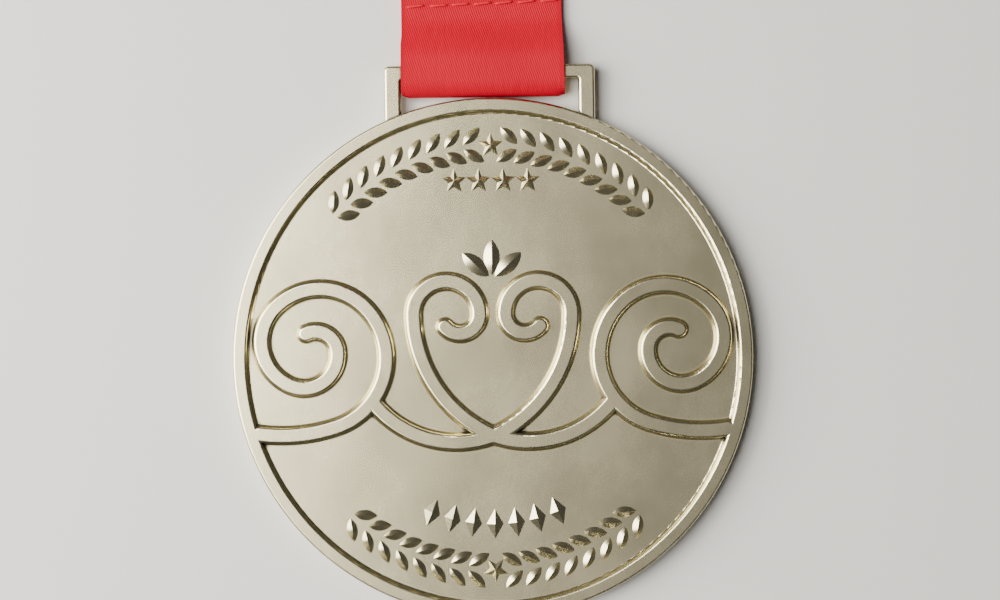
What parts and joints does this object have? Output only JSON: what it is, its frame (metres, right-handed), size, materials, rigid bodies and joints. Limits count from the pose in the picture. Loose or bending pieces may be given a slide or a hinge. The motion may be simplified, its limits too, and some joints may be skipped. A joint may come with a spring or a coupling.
{
  "type": "sports finisher medal",
  "caption": "Round die-cast medal with raised rim and scroll ornament, a rectangular bail, and a sewn satin neck ribbon folded into a banded hank.",
  "frame": {"origin": "centre of the disc on its flat back face", "axes": "+Z out of the front face, +Y from the disc's centre to the bail and up the ribbon, +X to the right seen from the front"},
  "size_m": [0.07, 0.1576, 0.0074],
  "materials": {
    "antique_nickel": "satin antique nickel plate on a zinc alloy die casting, dark in the recesses",
    "ribbon_satin": "woven polyester satin with a fine slanting twill, red",
    "sewing_thread": "polyester sewing thread, red",
    "band_elastic": "woven elastic band, off-white"
  },
  "bodies": {
    "medal": {"medal_disc": "antique_nickel", "ribbon_bail": "antique_nickel"},
    "sewn_loop": {"ribbon_loop": "ribbon_satin", "ribbon_sewn_end": "ribbon_satin", "ribbon_bend": "ribbon_satin", "seam_needle_thread": "sewing_thread", "seam_bobbin_thread": "sewing_thread"},
    "neck_ribbon": {"ribbon_back_strand": "ribbon_satin", "ribbon_front_strand": "ribbon_satin", "ribbon_hank": "ribbon_satin", "ribbon_band": "band_elastic"}
  },
  "joints": [
    {"name": "loop_swing", "type": "hinge", "parent": "medal", "child": "sewn_loop", "pos_m": [0, 0.0385, 0.0017], "axis": [1, 0, 0], "range_deg": [-120, 120]},
    {"name": "strap_fold", "type": "hinge", "parent": "sewn_loop", "child": "neck_ribbon", "pos_m": [0, 0.0505, 0.0006], "axis": [1, 0, 0], "range_deg": [-60, 60]}
  ]
}
